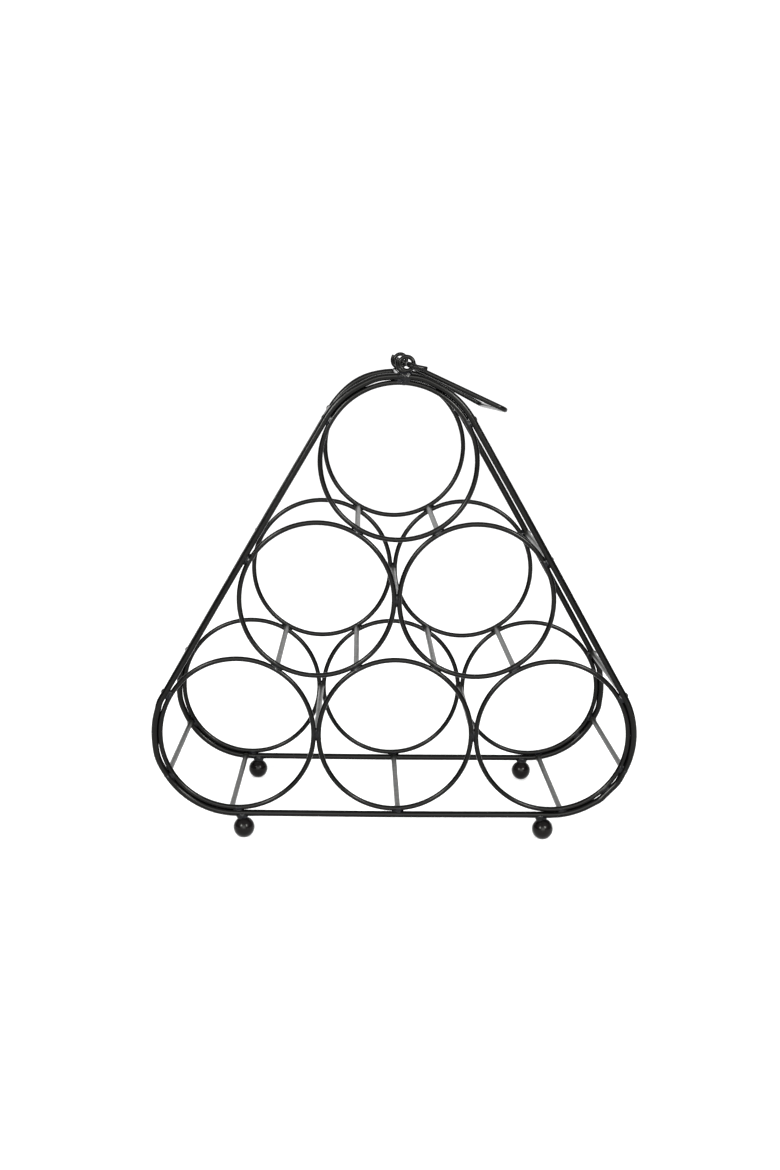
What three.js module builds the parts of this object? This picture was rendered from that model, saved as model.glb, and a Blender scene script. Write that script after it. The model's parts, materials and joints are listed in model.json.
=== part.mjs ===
// Pyramid wine rack: two flat wire frames, each six bottle rings inside one rounded triangular hoop,
// held apart by straight crossbars, standing on four ball feet, with a bail handle hooked through two eyelets.
// Millimetres, +Z up, the front frame towards -Y. The origin is on the floor, midway between the four feet.

import * as THREE from 'three';

// Driving dimensions
const ringPitch = 100;
const frameSpacing = 130;
const ringWire = 3.2;
const hoopWire = 4.2;
const crossbarWire = 3.6;
const eyeletWire = 2.6;
const handleWire = 3.2;
const weldGap = 0.3;
const hoopClearance = 0.4;
const footDiameter = 13.4;
const footFlat = 4;
const footInset = 4.3;
const eyeletHole = 5.8;
const eyeletOffset = 4;
const handleReach = 66;
const handleBend = 5;
const hookClearance = 0.4;
const hookSlack = 0.3;
const tailLength = 9;
const tailRise = THREE.MathUtils.degToRad(14);
const tailBend = 4;

// How finely the round shapes are cut
const wireSides = 8;
const ringSteps = 36;
const arcSteps = 12;
const bendSteps = 5;
const ballSteps = 9;
const ballSides = 16;
const eyeletSteps = 24;

// Sizes that follow from the driving dimensions
const rowStep = ringPitch * Math.sin(Math.PI / 3);
const ringRadius = (ringPitch - ringWire - weldGap) / 2;
const hoopRadius = ringRadius + ringWire / 2 + hoopClearance + hoopWire / 2;
const framePlane = frameSpacing / 2;
const footRadius = footDiameter / 2;
const footCentreHeight = Math.sqrt(footRadius ** 2 - (footFlat / 2) ** 2);
const bottomRowHeight = footCentreHeight + footRadius + weldGap + hoopWire / 2 + hoopRadius;
const eyeletRadius = (eyeletHole + eyeletWire) / 2;
const hookOffset = (eyeletWire + handleWire) / 2 + hookClearance;

const blackPaint = { color: 0x1b1b1d, roughness: 0.42, metalness: 0.25 };
const rack = new THREE.Group();

// Centre of the ring that stands `column` pitches from the middle in row `row`, the bottom row being 0
function ringCentre(column, row) {
  return new THREE.Vector3(column * ringPitch, 0, bottomRowHeight + row * rowStep);
}

const rings = {
  bottom_left: ringCentre(-1, 0),
  bottom_centre: ringCentre(0, 0),
  bottom_right: ringCentre(1, 0),
  middle_left: ringCentre(-0.5, 1),
  middle_right: ringCentre(0.5, 1),
  top: ringCentre(0, 2),
};
const frames = { front: -framePlane, rear: framePlane };

// A wire's centreline through given points, cut only at those points
class WireLine extends THREE.Curve {
  constructor(points, closed = false) {
    super();
    this.points = closed ? [...points, points[0]] : points;
    this.closed = closed;
  }

  getPoint(t) {
    const place = t * (this.points.length - 1);
    const index = Math.min(Math.floor(place), this.points.length - 2);
    return this.points[index].clone().lerp(this.points[index + 1], place - index);
  }

  getPointAt(u) {
    return this.getPoint(u);
  }

  getTangentAt(u) {
    const last = this.points.length - 1;
    const index = Math.round(u * last);
    const before = index > 0 ? index - 1 : this.closed ? last - 1 : index;
    const after = index < last ? index + 1 : this.closed ? 1 : index;
    const towards = (from, to) => this.points[to].clone().sub(this.points[from]).normalize();
    const here = this.closed ? index % last : index;
    return towards(before, index).add(towards(here, after)).normalize();
  }
}

function addMesh(name, geometry) {
  const mesh = new THREE.Mesh(geometry, new THREE.MeshStandardMaterial(blackPaint));
  mesh.name = name;
  rack.add(mesh);
  return mesh;
}

// A ring of round wire standing in the plane of a frame
function addWireRing(name, centre, y, radius, wire, steps) {
  const mesh = addMesh(name, new THREE.TorusGeometry(radius, wire / 2, wireSides, steps));
  mesh.position.set(centre.x, y, centre.z);
  mesh.rotation.x = Math.PI / 2;
}

// A point `radius` from `centre` in the plane of the frames, the angle counted from +X towards +Z
function aroundCentre(centre, radius, degrees) {
  const angle = THREE.MathUtils.degToRad(degrees);
  return new THREE.Vector3(centre.x + radius * Math.cos(angle), centre.y, centre.z + radius * Math.sin(angle));
}

// The hoop's centreline: an arc round each of the three corner rings, joined by straight sides
function hoopPoints() {
  const corners = [
    { centre: rings.bottom_right, start: -90 },
    { centre: rings.top, start: 30 },
    { centre: rings.bottom_left, start: 150 },
  ];
  const points = [];
  for (const { centre, start } of corners) {
    for (let step = 0; step <= arcSteps; step += 1) {
      points.push(aroundCentre(centre, hoopRadius, start + (120 * step) / arcSteps));
    }
  }
  return points;
}

function addHoop(name, y) {
  const line = new WireLine(hoopPoints(), true);
  const mesh = addMesh(name, new THREE.TubeGeometry(line, line.points.length - 1, hoopWire / 2, wireSides, true));
  mesh.position.y = y;
}

// A straight wire butted between the two frames, short of the wires that it is welded to
function addCrossbar(name, place, weldedWire) {
  const length = frameSpacing - weldedWire - 2 * weldGap;
  const mesh = addMesh(name, new THREE.CylinderGeometry(crossbarWire / 2, crossbarWire / 2, length, wireSides));
  mesh.position.set(place.x, 0, place.z);
}

// Crossbars on the hoops, at the places round the corner and side rings where the hoop comes nearest
function addHoopCrossbars() {
  const places = [
    ['bottom_left', 'below', -95],
    ['bottom_left', 'outside', 212],
    ['bottom_left', 'above', 150],
    ['bottom_centre', 'below', -87],
    ['bottom_right', 'below', -81],
    ['bottom_right', 'outside', -26],
    ['bottom_right', 'above', 30],
    ['middle_left', 'outside', 150],
    ['middle_right', 'outside', 30],
    ['top', 'left', 150],
    ['top', 'above', 90],
    ['top', 'right', 30],
  ];
  for (const [ring, side, degrees] of places) {
    addCrossbar(`crossbar_${ring}_${side}`, aroundCentre(rings[ring], hoopRadius, degrees), hoopWire);
  }
}

// Crossbars between the rings, one wherever two rings of a frame come together
function addRingCrossbars() {
  const names = Object.keys(rings);
  for (const [index, first] of names.entries()) {
    for (const second of names.slice(index + 1)) {
      if (rings[first].distanceTo(rings[second]) < ringPitch * 1.1) {
        const place = rings[first].clone().lerp(rings[second], 0.5);
        addCrossbar(`crossbar_${first}_to_${second}`, place, ringWire);
      }
    }
  }
}

// A ball with a small flat underneath, tangent to the hoop's straight bottom side
function addFoot(name, x, y) {
  const bottomAngle = Math.asin(footFlat / 2 / footRadius);
  const profile = [new THREE.Vector2(0, 0)];
  for (let step = 0; step <= ballSteps; step += 1) {
    const angle = bottomAngle + ((Math.PI - bottomAngle) * step) / ballSteps;
    const radius = step < ballSteps ? footRadius * Math.sin(angle) : 0;
    profile.push(new THREE.Vector2(radius, footCentreHeight - footRadius * Math.cos(angle)));
  }
  const mesh = addMesh(name, new THREE.LatheGeometry(profile, ballSides));
  mesh.position.set(x, y, 0);
  mesh.rotation.x = Math.PI / 2;
}

// The eyelets stand on top of the hoops, a little to the right of the middle
function eyeletCentre() {
  const fromRing = hoopRadius + hoopWire / 2 + weldGap + eyeletRadius + eyeletWire / 2;
  const rise = Math.sqrt(fromRing ** 2 - eyeletOffset ** 2);
  return new THREE.Vector3(rings.top.x + eyeletOffset, 0, rings.top.z + rise);
}

// How far an arm stands inside its frame's plane, at a distance from the hinge axis: the arms spread
// from the hooks' inner legs out to the frame planes at the grip
function armInset(distance) {
  return (hookOffset * (handleReach - distance)) / (handleReach - eyeletRadius);
}

// The angle below level at which the arms come to rest on the shoulders of the hoops
function restingDrop() {
  const fromRing = eyeletCentre().distanceTo(rings.top);
  const touching = (handleWire + hoopWire) / 2 + weldGap;
  const rounds = 10;
  let along = fromRing / 2;
  let armDistance = hoopRadius;
  for (let round = 0; round < rounds; round += 1) {
    armDistance = hoopRadius + Math.sqrt(touching ** 2 - armInset(along) ** 2);
    along = Math.sqrt(fromRing ** 2 - armDistance ** 2);
  }
  return Math.asin(eyeletOffset / fromRing) + Math.acos(armDistance / fromRing);
}

// Points along a bent wire: straight runs between the corners, each corner rounded to its own radius
function bentWire(corners) {
  const points = [corners[0].at];
  for (let index = 1; index < corners.length - 1; index += 1) {
    const { at, radius } = corners[index];
    const back = corners[index - 1].at.clone().sub(at).normalize();
    const onward = corners[index + 1].at.clone().sub(at).normalize();
    const halfOpening = back.angleTo(onward) / 2;
    const centre = back.clone().add(onward).normalize().multiplyScalar(radius / Math.sin(halfOpening)).add(at);
    const start = back.multiplyScalar(radius / Math.tan(halfOpening)).add(at).sub(centre);
    const end = onward.multiplyScalar(radius / Math.tan(halfOpening)).add(at).sub(centre);
    const turn = new THREE.Quaternion().setFromUnitVectors(start.clone().normalize(), end.normalize());
    for (let step = 0; step <= bendSteps; step += 1) {
      const part = new THREE.Quaternion().slerp(turn, step / bendSteps);
      points.push(start.clone().applyQuaternion(part).add(centre));
    }
  }
  points.push(corners[corners.length - 1].at);
  return points;
}

// The rear half of the bail, from the middle of the grip to the cut end of the tail. The hinge axis is
// the local Y axis, the arm runs along +X, and the hook turns round the eyelet's wire to the outside.
function bailHalf() {
  const hookEnd = eyeletRadius - hookOffset;
  const tailEnd = new THREE.Vector3(tailLength * Math.cos(tailRise), 0, tailLength * Math.sin(tailRise));
  const tailStart = new THREE.Vector3(eyeletRadius, framePlane + hookOffset, 0);
  return [
    { at: new THREE.Vector3(handleReach, 0, 0) },
    { at: new THREE.Vector3(handleReach, framePlane, 0), radius: handleBend },
    { at: new THREE.Vector3(hookEnd, framePlane - armInset(hookEnd), 0), radius: hookOffset - hookSlack },
    { at: new THREE.Vector3(hookEnd, framePlane + hookOffset, 0), radius: hookOffset - hookSlack },
    { at: tailStart, radius: tailBend },
    { at: tailStart.clone().add(tailEnd) },
  ];
}

function roundSection(radius) {
  const points = [];
  for (let side = 0; side < wireSides; side += 1) {
    const angle = (2 * Math.PI * side) / wireSides;
    points.push(new THREE.Vector2(radius * Math.cos(angle), radius * Math.sin(angle)));
  }
  return new THREE.Shape(points);
}

function addHandle(name) {
  const rearHalf = bentWire(bailHalf());
  const frontHalf = rearHalf.map((point) => new THREE.Vector3(point.x, -point.y, point.z)).reverse();
  const line = new WireLine([...frontHalf, ...rearHalf.slice(1)]);
  const geometry = new THREE.ExtrudeGeometry(roundSection(handleWire / 2), {
    steps: line.points.length - 1,
    extrudePath: line,
    bevelEnabled: false,
  });
  const mesh = addMesh(name, geometry);
  mesh.position.copy(eyeletCentre());
  mesh.rotation.y = restingDrop();
}

for (const [frame, y] of Object.entries(frames)) {
  for (const [ring, centre] of Object.entries(rings)) {
    addWireRing(`${frame}_ring_${ring}`, centre, y, ringRadius, ringWire, ringSteps);
  }
  addHoop(`${frame}_hoop`, y);
  addWireRing(`${frame}_eyelet`, eyeletCentre(), y, eyeletRadius, eyeletWire, eyeletSteps);
  addFoot(`${frame}_foot_left`, -(ringPitch - footInset), y);
  addFoot(`${frame}_foot_right`, ringPitch - footInset, y);
}
addHoopCrossbars();
addRingCrossbars();
addHandle('handle');

export default rack;
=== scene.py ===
"""Looks for the pyramid wine rack: round painted wire, weld metal at the joints, ball feet and a studio.

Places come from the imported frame, and so do sizes, apart from those named below that only the looks have.
Metres, +Z up, the front frame towards -Y.
"""

import json
import math

import bmesh
import bpy
from mathutils import Matrix, Quaternion, Vector, noise


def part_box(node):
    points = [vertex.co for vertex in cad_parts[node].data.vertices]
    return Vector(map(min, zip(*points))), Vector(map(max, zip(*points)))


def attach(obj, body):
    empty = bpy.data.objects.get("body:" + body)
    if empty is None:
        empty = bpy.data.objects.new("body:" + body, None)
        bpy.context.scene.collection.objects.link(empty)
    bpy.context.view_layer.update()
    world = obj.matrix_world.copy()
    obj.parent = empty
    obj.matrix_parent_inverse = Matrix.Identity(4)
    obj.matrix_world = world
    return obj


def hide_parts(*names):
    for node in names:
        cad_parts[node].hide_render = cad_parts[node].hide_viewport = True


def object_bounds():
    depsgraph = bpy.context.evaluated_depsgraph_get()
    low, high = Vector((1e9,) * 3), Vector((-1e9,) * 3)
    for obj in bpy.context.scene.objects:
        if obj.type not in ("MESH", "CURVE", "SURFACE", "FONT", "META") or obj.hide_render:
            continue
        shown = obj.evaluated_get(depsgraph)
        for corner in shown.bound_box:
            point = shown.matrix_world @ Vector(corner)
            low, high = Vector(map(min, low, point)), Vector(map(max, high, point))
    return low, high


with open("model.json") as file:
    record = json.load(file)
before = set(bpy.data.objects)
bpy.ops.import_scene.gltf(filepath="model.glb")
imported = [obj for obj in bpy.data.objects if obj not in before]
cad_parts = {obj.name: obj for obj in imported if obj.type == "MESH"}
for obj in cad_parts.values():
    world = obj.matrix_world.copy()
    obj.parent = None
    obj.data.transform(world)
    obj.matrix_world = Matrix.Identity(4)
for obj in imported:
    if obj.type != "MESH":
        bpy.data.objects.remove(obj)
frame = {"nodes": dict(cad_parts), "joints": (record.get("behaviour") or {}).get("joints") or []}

MM = 0.001
cad_low, cad_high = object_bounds()

# ---------------------------------------------------------------- sizes that the looks add

WIRE_SIDES = 20
RING_STATIONS = 144
HOOP_STATION = 3 * MM
UNEVENNESS = 0.012
UNEVEN_SPAN = 4 * MM
WANDER = 0.1 * MM
WANDER_SPAN = 34 * MM
SIDE_BOW = 0.3 * MM
STAND_OFF = 0.5 * MM
CUT_CHAMFER = 0.35 * MM
FLARE_LENGTH = 2.6 * MM
FLARE_GROWTH = 0.42
FLARE_STEPS = 6
BAR_STEPS = 24
SINK = 0.9 * MM

FOOT_ROUNDS = 26
FOOT_TOP = math.radians(89)

EYELET_START = math.radians(143)
EYELET_BOTTOM = math.radians(270)
EYELET_END = math.radians(630)
EYELET_STEPS = 72
EYELET_LAP = 0.55

RING_WELD = 5.2 * MM
HOOP_WELD = 4.4 * MM
WELD_STATIONS = 18
WELD_ACROSS = 12
LUMP_SPAN = 2.1 * MM
RIPPLE_SPAN = 0.7 * MM

# The bail's wire and bends, as the CAD has them; the cut tails are a little shorter
HANDLE_WIRE = 3.2 * MM
GRIP_BEND = 5 * MM
HOOK_BEND = 3 * MM
TAIL_LENGTH = 8.2 * MM
TAIL_RISE = math.radians(14)
TAIL_BEND = 4 * MM

# ---------------------------------------------------------------- what the frame says


def centre_of(node):
    low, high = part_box(node)
    return (low + high) / 2


def size_of(node):
    low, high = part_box(node)
    return high - low


def line_radius(node):
    """The centreline radius of a ring of wire that stands in a frame's plane."""
    size = size_of(node)
    return (size.x - size.y) / 2


FRAME_Y = {side: centre_of(f"{side}_hoop").y for side in ("front", "rear")}
RING_NAMES = [name[len("front_ring_"):] for name in frame["nodes"] if name.startswith("front_ring_")]
RING_CENTRE = {name: centre_of(f"front_ring_{name}") for name in RING_NAMES}
RING_WIRE = size_of("front_ring_top").y
HOOP_WIRE = size_of("front_hoop").y
PITCH = RING_CENTRE["bottom_right"].x - RING_CENTRE["bottom_centre"].x
RING_RADIUS = (PITCH - RING_WIRE) / 2
TOUCHING_RADIUS = RING_RADIUS + (RING_WIRE + HOOP_WIRE) / 2
HOOP_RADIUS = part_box("front_hoop")[1].x - HOOP_WIRE / 2 - RING_CENTRE["bottom_right"].x
HINGE = Vector(frame["joints"][0]["pos_m"])

# ---------------------------------------------------------------- paint


def linked(tree, kind, **settings):
    node = tree.nodes.new(kind)
    for name, value in settings.items():
        setattr(node, name, value)
    return node


def noise_node(tree, place, scale, detail, roughness=0.5):
    node = linked(tree, "ShaderNodeTexNoise")
    node.inputs["Scale"].default_value = scale
    node.inputs["Detail"].default_value = detail
    node.inputs["Roughness"].default_value = roughness
    tree.links.new(place, node.inputs["Vector"])
    return node.outputs["Fac"]


def ramp_node(tree, factor, stops):
    node = linked(tree, "ShaderNodeValToRGB")
    ramp = node.color_ramp
    while len(ramp.elements) < len(stops):
        ramp.elements.new(0.5)
    for element, (position, colour) in zip(ramp.elements, stops):
        element.position = position
        element.color = (*colour, 1)
    tree.links.new(factor, node.inputs["Fac"])
    return node.outputs["Color"]


def range_node(tree, value, low, high, to_low, to_high):
    node = linked(tree, "ShaderNodeMapRange")
    for name, number in (("From Min", low), ("From Max", high), ("To Min", to_low), ("To Max", to_high)):
        node.inputs[name].default_value = number
    tree.links.new(value, node.inputs["Value"])
    return node.outputs["Result"]


def larger(tree, one, other):
    node = linked(tree, "ShaderNodeMath", operation="MAXIMUM")
    tree.links.new(one, node.inputs[0])
    tree.links.new(other, node.inputs[1])
    return node.outputs["Value"]


def bump_node(tree, height, distance, strength, after=None):
    node = linked(tree, "ShaderNodeBump")
    node.inputs["Distance"].default_value = distance
    node.inputs["Strength"].default_value = strength
    tree.links.new(height, node.inputs["Height"])
    if after is not None:
        tree.links.new(after, node.inputs["Normal"])
    return node.outputs["Normal"]


def black_paint(name, dark, light, rough_low, rough_high, ripple, pitting, index):
    """Satin black paint, cloudy in tone and gloss, rippled as if sprayed, with a few pale specks of dust."""
    material = bpy.data.materials.new(name)
    material.use_nodes = True
    tree = material.node_tree
    shader = tree.nodes["Principled BSDF"]
    place = linked(tree, "ShaderNodeTexCoord").outputs["Object"]
    clouds = noise_node(tree, place, 95, 4, 0.6)
    tone = ramp_node(tree, clouds, [(0.32, dark), (0.7, light)])
    specks = noise_node(tree, place, 2300, 1)
    speck_mask = range_node(tree, specks, 0.74, 0.8, 0, 1)
    mix = linked(tree, "ShaderNodeMix", data_type="RGBA")
    tree.links.new(speck_mask, mix.inputs["Factor"])
    tree.links.new(tone, mix.inputs["A"])
    mix.inputs["B"].default_value = (0.035, 0.034, 0.03, 1)
    tree.links.new(mix.outputs["Result"], shader.inputs["Base Color"])
    gloss = noise_node(tree, place, 240, 3)
    tree.links.new(range_node(tree, gloss, 0.3, 0.7, rough_low, rough_high), shader.inputs["Roughness"])
    peel = bump_node(tree, noise_node(tree, place, 900, 2), 0.05 * MM, ripple)
    grain = bump_node(tree, noise_node(tree, place, 3400, 2), 0.02 * MM, pitting, peel)
    tree.links.new(grain, shader.inputs["Normal"])
    shader.inputs["IOR"].default_value = index
    shader.inputs["Specular Tint"].default_value = (1.0, 1.0, 0.95, 1)
    return material


# The indices of the wires, balls and welds are lower than real paint has, to keep their grazing edges dark
wire_paint = black_paint(
    "wire_paint",
    dark=(0.0004, 0.0004, 0.0004),
    light=(0.0014, 0.0013, 0.0013),
    rough_low=0.15,
    rough_high=0.21,
    ripple=0.2,
    pitting=0.15,
    index=1.2,
)
# The bars have the same black paint as the wires, but this base colour is lighter and yellower: painted sheen
# for the pale greenish grey that the bars reflect at a grazing angle
bar_paint_with_painted_sheen = black_paint(
    "bar_paint_with_painted_sheen",
    dark=(0.004, 0.0042, 0.0036),
    light=(0.009, 0.009, 0.0075),
    rough_low=0.3,
    rough_high=0.42,
    ripple=0.35,
    pitting=0.4,
    index=1.45,
)
ball_paint = black_paint(
    "ball_paint",
    dark=(0.0009, 0.0006, 0.0007),
    light=(0.0026, 0.002, 0.0021),
    rough_low=0.18,
    rough_high=0.26,
    ripple=0.2,
    pitting=0.2,
    index=1.2,
)
weld_paint = black_paint(
    "weld_paint",
    dark=(0.001, 0.0011, 0.0016),
    light=(0.0028, 0.0031, 0.0046),
    rough_low=0.18,
    rough_high=0.3,
    ripple=0.6,
    pitting=0.4,
    index=1.22,
)

# ---------------------------------------------------------------- mesh building


def finish_piece(name, bm, material, body, *nodes):
    """A finished piece: smooth, riding on its body, standing for the CAD nodes named."""
    bmesh.ops.recalc_face_normals(bm, faces=bm.faces)
    mesh = bpy.data.meshes.new(name)
    bm.to_mesh(mesh)
    bm.free()
    mesh.polygons.foreach_set("use_smooth", [True] * len(mesh.polygons))
    mesh.materials.append(material)
    piece = bpy.data.objects.new(name, mesh)
    bpy.context.scene.collection.objects.link(piece)
    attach(piece, body)
    if nodes:
        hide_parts(*nodes)
    return piece


def loft(sections, closed=False):
    """Quads between matching loops of points; open ends are closed with a fan."""
    bm = bmesh.new()
    loops = [[bm.verts.new(point) for point in section] for section in sections]
    pairs = list(zip(loops, loops[1:]))
    if closed:
        pairs.append((loops[-1], loops[0]))
    for one, other in pairs:
        for index in range(len(one)):
            after = (index + 1) % len(one)
            bm.faces.new((one[index], one[after], other[after], other[index]))
    if not closed:
        for loop in (loops[0], loops[-1]):
            middle = bm.verts.new(sum((vert.co for vert in loop), Vector()) / len(loop))
            for index in range(len(loop)):
                bm.faces.new((loop[index], loop[(index + 1) % len(loop)], middle))
    return bm


def directions(points, closed):
    """The direction of a line at each of its points."""
    count = len(points)
    found = []
    for index in range(count):
        before = points[(index - 1) % count] if closed or index else points[index]
        after = points[(index + 1) % count] if closed or index < count - 1 else points[index]
        found.append((after - before).normalized())
    return found


def wire(points, radii, closed=False):
    """Round wire along a line, its section carried along without twisting, and very slightly uneven."""
    along = directions(points, closed)
    side = along[0].orthogonal().normalized()
    if abs(along[0].y) < 0.5:
        side = Vector((0, 1, 0))
    sections = []
    for index, point in enumerate(points):
        if index:
            side = along[index - 1].rotation_difference(along[index]) @ side
        other = along[index].cross(side)
        section = []
        for step in range(WIRE_SIDES):
            angle = 2 * math.pi * step / WIRE_SIDES
            out = side * math.cos(angle) + other * math.sin(angle)
            uneven = 1 + UNEVENNESS * noise.noise((point + out * radii[index]) / UNEVEN_SPAN)
            section.append(point + out * radii[index] * uneven)
        sections.append(section)
    return loft(sections, closed)


def cut_ends(points, radius):
    """The points and radii of a wire whose two ends are cut square and slightly chamfered."""
    along = directions(points, False)
    radii = [radius] * len(points)
    ends = [points[0].copy(), points[-1].copy()]
    inner = [ends[0] + along[0] * CUT_CHAMFER, ends[1] - along[-1] * CUT_CHAMFER]
    line = [ends[0], inner[0], *points[1:-1], inner[1], ends[1]]
    return line, [radius - CUT_CHAMFER, radius, *radii[1:-1], radius, radius - CUT_CHAMFER]


def in_plane(centre, radius, angle, y):
    """A point round a ring's centre, the angle counted from +X towards +Z."""
    return Vector((centre.x + radius * math.cos(angle), y, centre.z + radius * math.sin(angle)))


def spring(point, seed, amount):
    """How far bent wire springs off its true line here, a smooth wander of at most about `amount`."""
    return amount * noise.noise(Vector((point.x, seed, point.z)) / WANDER_SPAN)


def roughen(bm, coarse, fine):
    """Moves a weld's surface in and out, as weld metal freezes."""
    bm.normal_update()
    for vert in bm.verts:
        lumps = coarse * noise.noise(vert.co / LUMP_SPAN)
        ripples = fine * noise.noise(vert.co / RIPPLE_SPAN)
        vert.co += vert.normal * (lumps + ripples)


# ---------------------------------------------------------------- rings and hoops

# The stretches round each corner ring, in degrees from +X towards +Z, where the hoop stands off the ring
LOOSE_STRETCHES = {
    "front": {
        "bottom_left": ((150, 164), (184, 212)),
        "bottom_right": ((-59, -46), (-43, -27)),
        "top": ((63, 87), (93, 118)),
    },
    "rear": {
        "bottom_left": ((176, 207),),
        "bottom_right": ((-24, -8), (10, 24)),
        "top": ((38, 86), (96, 140)),
    },
}


def make_ring(side, name):
    centre = RING_CENTRE[name]
    seed = sum(map(ord, side + name)) * MM
    points = []
    for step in range(RING_STATIONS):
        angle = 2 * math.pi * step / RING_STATIONS
        true = in_plane(centre, RING_RADIUS, angle, FRAME_Y[side])
        points.append(in_plane(centre, RING_RADIUS + spring(true, seed, WANDER), angle, FRAME_Y[side]))
    bm = wire(points, [RING_WIRE / 2] * len(points), closed=True)
    finish_piece(f"{side}_bottle_ring_{name}", bm, wire_paint, "frame", f"{side}_ring_{name}")


def stand_off(side, corner, angle):
    """How far the hoop stands off its ring, which is most halfway along each loose stretch."""
    for first, last in LOOSE_STRETCHES[side][corner]:
        if first < angle < last:
            return STAND_OFF * math.sin(math.pi * (angle - first) / (last - first)) ** 2
    return 0.0


def hoop_line(side):
    """The hoop's centreline, which hugs the three corner rings and bows out a little along its sides."""
    seed = sum(map(ord, side)) * MM
    corners = (("bottom_right", -90), ("top", 30), ("bottom_left", 150))
    arc_steps = round(HOOP_RADIUS * math.radians(120) / HOOP_STATION)
    side_steps = round(2 * PITCH / HOOP_STATION)
    points = []
    for index, (corner, start) in enumerate(corners):
        for step in range(arc_steps + 1):
            angle = start + 120 * step / arc_steps
            true = in_plane(RING_CENTRE[corner], TOUCHING_RADIUS, math.radians(angle), FRAME_Y[side])
            radius = TOUCHING_RADIUS + stand_off(side, corner, angle) + spring(true, seed, WANDER)
            points.append(in_plane(RING_CENTRE[corner], radius, math.radians(angle), FRAME_Y[side]))
        following = corners[(index + 1) % len(corners)][0]
        outward = in_plane(Vector(), 1, math.radians(start + 120), 0)
        leaving = points[-1].copy()
        arriving = RING_CENTRE[following] + outward * TOUCHING_RADIUS
        arriving.y = leaving.y
        for step in range(1, side_steps):
            share = step / side_steps
            points.append(leaving.lerp(arriving, share) + outward * SIDE_BOW * math.sin(math.pi * share) ** 2)
    return points


def make_hoop(side):
    points = hoop_line(side)
    bm = wire(points, [HOOP_WIRE / 2] * len(points), closed=True)
    finish_piece(f"{side}_outer_hoop", bm, wire_paint, "frame", f"{side}_hoop")


# ---------------------------------------------------------------- crossbars


def make_crossbar(node):
    """A straight wire whose ends are upset against the frames and run into their wires.

    The others have the lighter paint with painted sheen. The topmost one has the wires' darker paint, painted
    shade that keeps a pale patch of reflection from showing under the eyelets.
    """
    middle = centre_of(node)
    size = size_of(node)
    radius = size.x / 2
    half = size.y / 2 + SINK
    reach = half - FLARE_LENGTH
    places = [-half + FLARE_LENGTH * step / FLARE_STEPS for step in range(FLARE_STEPS)]
    places += [reach * (2 * step / BAR_STEPS - 1) for step in range(BAR_STEPS + 1)]
    places += [reach + FLARE_LENGTH * step / FLARE_STEPS for step in range(1, FLARE_STEPS + 1)]
    points = [Vector((middle.x, place, middle.z)) for place in places]
    radii = []
    for place in places:
        near_end = max(0.0, (abs(place) - reach) / FLARE_LENGTH)
        radii.append(radius * (1 + FLARE_GROWTH * near_end ** 2))
    bm = wire(points, radii)
    # The topmost bar gets the darker wire paint: painted shade over its reflection
    paint = wire_paint if node == "crossbar_top_above" else bar_paint_with_painted_sheen
    finish_piece(node.replace("crossbar_", "crosswire_"), bm, paint, "frame", node)


# ---------------------------------------------------------------- feet


def make_foot(side, hand):
    """A ball with a small worn flat underneath."""
    node = f"{side}_foot_{hand}"
    low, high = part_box(node)
    middle = (low + high) / 2
    radius = (high.x - low.x) / 2
    centre_height = high.z - radius
    first = -math.asin(centre_height / radius)
    sections = []
    for step in range(FOOT_ROUNDS):
        tilt = first + (FOOT_TOP - first) * step / (FOOT_ROUNDS - 1)
        section = []
        for turn in range(2 * WIRE_SIDES):
            angle = math.pi * turn / WIRE_SIDES
            out = radius * math.cos(tilt)
            section.append(Vector((
                middle.x + out * math.cos(angle),
                middle.y + out * math.sin(angle),
                centre_height + radius * math.sin(tilt),
            )))
        sections.append(section)
    finish_piece(f"{side}_ball_{hand}", loft(sections), ball_paint, "frame", node)


# ---------------------------------------------------------------- eyelets and handle

# How far each eyelet is welded off its true place, and how far the bail sits off its own at hooks and grip
EYELET_SHIFT = {"front": Vector((0, 0, -0.3)) * MM, "rear": Vector((-0.5, 0, -0.1)) * MM}
HOOK_SHIFT = {"front": Vector((0.3, 0, -0.2)) * MM, "rear": Vector((-0.7, 0, -0.2)) * MM}
GRIP_SHIFT = {"front": Vector((2.2, 0, 1.6)) * MM, "rear": Vector((-2.2, 0, -1.0)) * MM}


def make_eyelet(side):
    """A loop of wire with its first end left outside it, up the left, and its last end closed on the hoop."""
    node = f"{side}_eyelet"
    centre = centre_of(node) + EYELET_SHIFT[side]
    radius = line_radius(node)
    gauge = size_of(node).y
    lap = EYELET_LAP * gauge
    points = []
    for step in range(EYELET_STEPS + 1):
        angle = EYELET_START + (EYELET_END - EYELET_START) * step / EYELET_STEPS
        part = max(0.0, (EYELET_BOTTOM - angle) / (EYELET_BOTTOM - EYELET_START))
        outside = lap * math.sin(math.pi / 2 * min(1, 2.2 * part))
        points.append(in_plane(centre, radius + outside, angle, centre.y - 0.1 * gauge * part))
    line, radii = cut_ends(points, gauge / 2)
    finish_piece(f"{side}_loop", wire(line, radii), wire_paint, "frame", node)


def bend_corners(corners, steps=9):
    """Points along a bent wire: straight runs between the corners, each rounded to its own radius."""
    points = [corners[0][0]]
    for (before, _), (at, radius), (after, _) in zip(corners, corners[1:], corners[2:]):
        back = (before - at).normalized()
        onward = (after - at).normalized()
        half_opening = back.angle(onward) / 2
        centre = at + (back + onward).normalized() * radius / math.sin(half_opening)
        start = at + back * radius / math.tan(half_opening) - centre
        end = at + onward * radius / math.tan(half_opening) - centre
        turn = start.rotation_difference(end)
        for step in range(steps + 1):
            points.append(centre + Quaternion().slerp(turn, step / steps) @ start)
    points.append(corners[-1][0])
    return points


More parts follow.
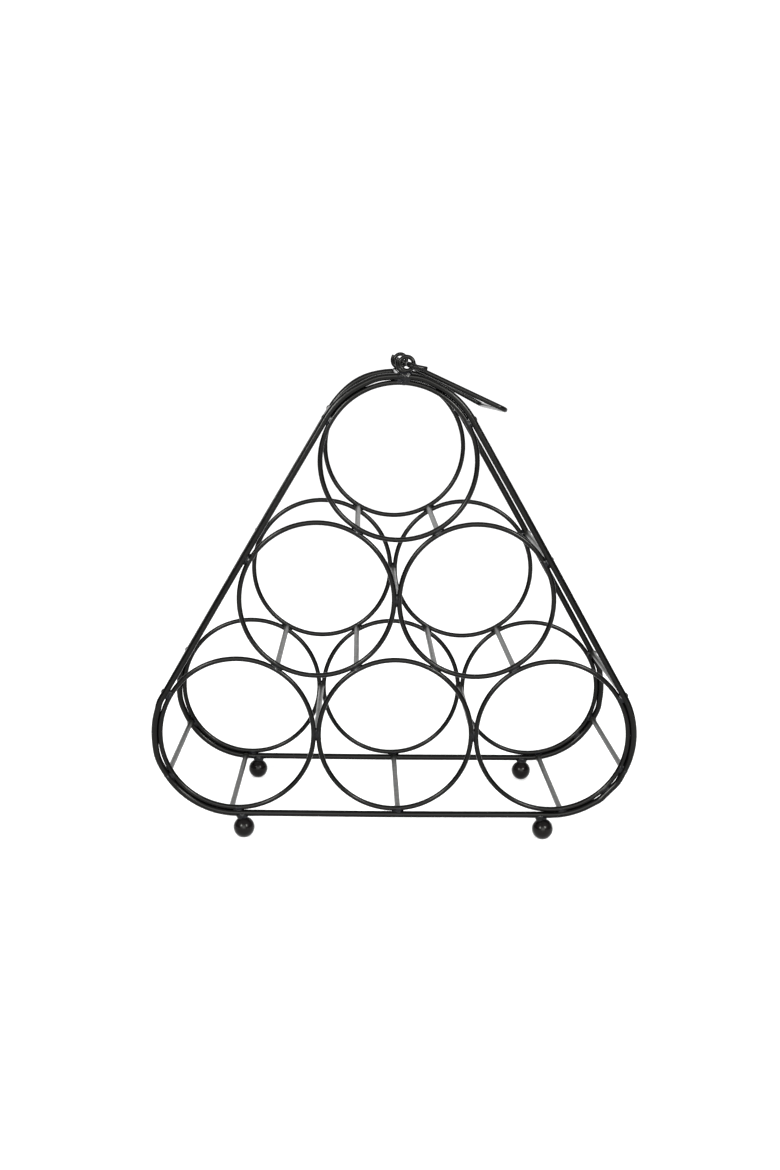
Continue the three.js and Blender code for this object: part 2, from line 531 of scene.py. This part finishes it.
def askew(along, across):
    """The bail's shift off its true place, `along` from hooks (0) to grip (1), `across` from front (-1)."""
    front = HOOK_SHIFT["front"].lerp(GRIP_SHIFT["front"], along)
    rear = HOOK_SHIFT["rear"].lerp(GRIP_SHIFT["rear"], along)
    return front.lerp(rear, (1 + across) / 2)


def make_handle():
    """The bail: a grip, two arms that spread from the hooks, and a cut tail outside each eyelet."""
    low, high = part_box("handle")
    radius = HANDLE_WIRE / 2
    plane = FRAME_Y["rear"]
    hook_offset = high.y - radius - plane
    eyelet_radius = line_radius("rear_eyelet")
    grip = Vector((high.x - radius - HINGE.x, 0, low.z + radius - HINGE.z))
    reach = grip.length
    drop = math.atan2(-grip.z, grip.x)
    hook_end = eyelet_radius - hook_offset
    inset = hook_offset * (reach - hook_end) / (reach - eyelet_radius)
    tail_start = Vector((eyelet_radius, plane + hook_offset, 0))
    tail = Vector((TAIL_LENGTH * math.cos(TAIL_RISE), 0, TAIL_LENGTH * math.sin(TAIL_RISE)))
    corners = [
        (Vector((reach, 0, 0)), 0),
        (Vector((reach, plane, 0)), GRIP_BEND),
        (Vector((hook_end, plane - inset, 0)), HOOK_BEND),
        (Vector((hook_end, plane + hook_offset, 0)), HOOK_BEND),
        (tail_start, TAIL_BEND),
        (tail_start + tail, 0),
    ]
    rear = bend_corners(corners)
    front = [Vector((point.x, -point.y, point.z)) for point in reversed(rear)]
    place = Matrix.Translation(HINGE) @ Matrix.Rotation(drop, 4, "Y")
    bent = [place @ point + askew(point.x / reach, point.y / plane) for point in [*front, *rear[1:]]]
    line, radii = cut_ends(bent, radius)
    finish_piece("bail_handle", wire(line, radii), wire_paint, "handle", "handle")


# ---------------------------------------------------------------- weld metal

# Where each ring is welded to its hoop, in degrees from +X towards +Z
WELDED_AT = {
    "bottom_left": (150, 214, 271),
    "bottom_centre": (273,),
    "bottom_right": (-81, -44, -26, 30),
    "middle_left": (150,),
    "middle_right": (30,),
    "top": (30, 90, 150),
}


def nearest_on_ring(name, point):
    centre = RING_CENTRE[name]
    return math.atan2(point.z - centre.z, point.x - centre.x)


def weld_web(name, side, ring, angle, partner, partner_wire, half_length):
    """Weld metal between a ring and the wire beside it, thick on both wires, hollow between them."""
    y = FRAME_Y[side]
    reach_first = RING_WIRE / 4
    reach_second = partner_wire / 4
    sections = []
    for station in range(WELD_STATIONS + 1):
        along = 2 * station / WELD_STATIONS - 1
        fill = math.sqrt(1 - 0.93 * abs(along) ** 2.4)
        front = []
        back = []
        for step in range(WELD_ACROSS + 1):
            share = step / WELD_ACROSS
            gather = 1 - 0.3 * math.sin(math.pi * share)
            here_angle = angle + along * gather * half_length / RING_RADIUS
            here = in_plane(RING_CENTRE[ring], RING_RADIUS, here_angle, y)
            other = partner(here)
            outward = (other - here).normalized()
            gap = (other - here).length
            place = -reach_first + share * (gap + reach_first + reach_second)
            wire_radius = (RING_WIRE * (1 - share) + partner_wire * share) / 2
            hollow = math.sin(math.pi * min(1, max(0, place / gap))) ** 2
            overhang = max(0, -place / reach_first, (place - gap) / reach_second)
            height = wire_radius * fill * (1.07 - 0.42 * hollow - 0.3 * overhang ** 2)
            point = here + outward * place
            front.append(point + Vector((0, -height, 0)))
            back.append(point + Vector((0, height, 0)))
        sections.append([*front, *reversed(back)])
    bm = loft(sections)
    roughen(bm, 0.24 * MM, 0.12 * MM)
    finish_piece(name, bm, weld_paint, "frame")


def partner_ring(name, side):
    def nearest(point):
        return in_plane(RING_CENTRE[name], RING_RADIUS, nearest_on_ring(name, point), FRAME_Y[side])

    return nearest


def partner_hoop(side):
    line = hoop_line(side)

    def nearest(point):
        return min(line, key=lambda other: (other - point).length_squared)

    return nearest


def weld_rings(side):
    """A weld wherever two rings of a frame come together."""
    for index, first in enumerate(RING_NAMES):
        for second in RING_NAMES[index + 1:]:
            apart = RING_CENTRE[second] - RING_CENTRE[first]
            if apart.length < 1.1 * PITCH:
                angle = math.atan2(apart.z, apart.x)
                name = f"{side}_weld_{first}_{second}"
                weld_web(name, side, first, angle, partner_ring(second, side), RING_WIRE, RING_WELD)


def weld_hoop(side):
    """The welds from the rings to the hoop."""
    nearest = partner_hoop(side)
    for ring, places in WELDED_AT.items():
        for place in places:
            name = f"{side}_weld_{ring}_at_{place % 360}"
            weld_web(name, side, ring, math.radians(place), nearest, HOOP_WIRE, HOOP_WELD)


def stacked_weld(name, centre, rows):
    """A lump of weld metal built up in level rows of (height, half width along X, half depth along Y)."""
    sections = []
    for height, half_x, half_y in rows:
        section = []
        for turn in range(2 * WIRE_SIDES):
            angle = math.pi * turn / WIRE_SIDES
            section.append(centre + Vector((half_x * math.cos(angle), half_y * math.sin(angle), height)))
        sections.append(section)
    bm = loft(sections)
    bmesh.ops.subdivide_edges(bm, edges=bm.edges, cuts=1, use_grid_fill=True, smooth=0.4)
    roughen(bm, 0.38 * MM, 0.14 * MM)
    finish_piece(name, bm, weld_paint, "frame")


def weld_foot(side, hand):
    """The neck of weld metal between a ball and the hoop above it, a little to one side."""
    shift = -1.1 * MM if side == "front" else 0.4 * MM
    low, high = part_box(f"{side}_foot_{hand}")
    top = Vector(((low.x + high.x) / 2 + shift, (low.y + high.y) / 2, high.z))
    rows = [
        (-2.6 * MM, 2.6 * MM, 2.4 * MM),
        (-1.9 * MM, 3.0 * MM, 2.7 * MM),
        (-0.8 * MM, 3.3 * MM, 2.7 * MM),
        (0.2 * MM, 3.8 * MM, 2.6 * MM),
        (1.4 * MM, 3.6 * MM, 2.7 * MM),
        (2.5 * MM, 2.9 * MM, 2.5 * MM),
        (3.4 * MM, 1.7 * MM, 1.5 * MM),
    ]
    stacked_weld(f"{side}_foot_weld_{hand}", top, rows)


def weld_eyelet(side):
    """The block of weld metal that ties the eyelet, the hoop and the top ring together."""
    eyelet = centre_of(f"{side}_eyelet")
    hoop_top = RING_CENTRE["top"].z + HOOP_RADIUS
    middle = Vector((eyelet.x - 0.6 * MM, eyelet.y, hoop_top))
    rows = [
        (-5.6 * MM, 2.1 * MM, 1.2 * MM),
        (-5.0 * MM, 2.9 * MM, 1.9 * MM),
        (-3.4 * MM, 3.3 * MM, 2.3 * MM),
        (-1.2 * MM, 3.7 * MM, 2.5 * MM),
        (0.6 * MM, 4.2 * MM, 2.3 * MM),
        (1.9 * MM, 4.0 * MM, 1.7 * MM),
        (2.9 * MM, 2.6 * MM, 1.0 * MM),
    ]
    stacked_weld(f"{side}_eyelet_weld", middle, rows)


# ---------------------------------------------------------------- studio

# The world's strength: dim at the sides, which keeps the wires' flanks dark, and bright behind and above
DIM = 0.32
BEHIND = 1.2
ABOVE = 1.1

# The bright patch in front of the rack that draws the highlights along its wires
GLOW = 9.5
GLOW_RISE = math.radians(13)
GLOW_EDGE = math.radians(26)
GLOW_CORE = math.radians(9)

SOFTBOX_DISTANCE = 1.5
SOFTBOX_SIZE = (0.28, 0.34)
SOFTBOX_POWER = 24

# Where the camera stands, from the middle of the front frame's bottom row of rings
CAMERA_RIGHT = -23.44 * MM
CAMERA_BACK = 902.5 * MM
CAMERA_UP = 248.09 * MM
CAMERA_TURN = math.radians(-1.21)
CAMERA_DOWN = math.radians(9.54)
CAMERA_ROLL = math.radians(-0.78)
CAMERA_LENS = 45.16


def make_floor():
    material = bpy.data.materials.new("pale_floor")
    material.use_nodes = True
    tree = material.node_tree
    shader = tree.nodes["Principled BSDF"]
    place = linked(tree, "ShaderNodeTexCoord").outputs["Object"]
    clouds = noise_node(tree, place, 3, 2)
    tone = ramp_node(tree, clouds, [(0.3, (0.93, 0.93, 0.93)), (0.7, (0.95, 0.95, 0.95))])
    tree.links.new(tone, shader.inputs["Base Color"])
    shader.inputs["Roughness"].default_value = 0.9
    shader.inputs["Specular IOR Level"].default_value = 0.1
    bm = bmesh.new()
    bmesh.ops.create_grid(bm, x_segments=8, y_segments=8, size=6)
    mesh = bpy.data.meshes.new("floor")
    bm.to_mesh(mesh)
    bm.free()
    mesh.materials.append(material)
    floor = bpy.data.objects.new("floor", mesh)
    bpy.context.scene.collection.objects.link(floor)


def make_softbox(name, azimuth, elevation):
    """A soft light aimed at the rack's middle. Azimuth 0 is straight in front, and right is positive."""
    middle = (cad_low + cad_high) / 2
    turn, rise = math.radians(azimuth), math.radians(elevation)
    back = Vector((math.sin(turn) * math.cos(rise), -math.cos(turn) * math.cos(rise), math.sin(rise)))
    light = bpy.data.lights.new(name, "AREA")
    light.shape = "RECTANGLE"
    light.size, light.size_y = SOFTBOX_SIZE
    light.energy = SOFTBOX_POWER
    lamp = bpy.data.objects.new(name, light)
    lamp.location = middle + back * SOFTBOX_DISTANCE
    lamp.rotation_euler = back.to_track_quat("Z", "Y").to_euler()
    bpy.context.scene.collection.objects.link(lamp)


def make_world():
    """A white world whose strength depends on direction."""
    world = bpy.data.worlds.new("studio")
    world.use_nodes = True
    tree = world.node_tree
    direction = linked(tree, "ShaderNodeTexCoord").outputs["Generated"]
    split = linked(tree, "ShaderNodeSeparateXYZ")
    tree.links.new(direction, split.inputs["Vector"])
    behind = range_node(tree, split.outputs["Y"], 0.3, 0.7, DIM, BEHIND)
    above = range_node(tree, split.outputs["Z"], 0.3, 0.6, DIM, ABOVE)
    towards = linked(tree, "ShaderNodeVectorMath", operation="DOT_PRODUCT")
    tree.links.new(direction, towards.inputs[0])
    towards.inputs[1].default_value = (0, -math.cos(GLOW_RISE), math.sin(GLOW_RISE))
    ahead = range_node(tree, towards.outputs["Value"], math.cos(GLOW_EDGE), math.cos(GLOW_CORE), DIM, GLOW)
    strength = larger(tree, larger(tree, behind, above), ahead)
    tree.links.new(strength, tree.nodes["Background"].inputs["Strength"])
    tree.nodes["Background"].inputs["Color"].default_value = (1, 1, 1, 1)
    bpy.context.scene.world = world


def make_camera():
    """The viewing angle: nearly straight on, from a little above, tipped a little."""
    back = Vector((
        math.sin(CAMERA_TURN) * math.cos(CAMERA_DOWN),
        -math.cos(CAMERA_TURN) * math.cos(CAMERA_DOWN),
        math.sin(CAMERA_DOWN),
    ))
    row_height = RING_CENTRE["bottom_centre"].z
    camera_data = bpy.data.cameras.new("camera")
    camera_data.lens = CAMERA_LENS
    camera_data.sensor_width = 36
    camera = bpy.data.objects.new("camera", camera_data)
    camera.location = Vector((CAMERA_RIGHT, FRAME_Y["front"] - CAMERA_BACK, row_height + CAMERA_UP))
    turn = back.to_track_quat("Z", "Y").to_matrix().to_4x4() @ Matrix.Rotation(-CAMERA_ROLL, 4, "Z")
    camera.rotation_euler = turn.to_euler()
    bpy.context.scene.collection.objects.link(camera)
    bpy.context.scene.camera = camera
    bpy.context.scene.view_settings.view_transform = "Standard"


# ---------------------------------------------------------------- build

make_camera()
for side in FRAME_Y:
    for ring in RING_NAMES:
        make_ring(side, ring)
    make_hoop(side)
    make_eyelet(side)
    for hand in ("left", "right"):
        make_foot(side, hand)
        weld_foot(side, hand)
    weld_rings(side)
    weld_hoop(side)
    weld_eyelet(side)
for node in frame["nodes"]:
    if node.startswith("crossbar_"):
        make_crossbar(node)
make_handle()

make_floor()
make_world()
make_softbox("softbox_left", -31, 22)
make_softbox("softbox_right", 31, 25)
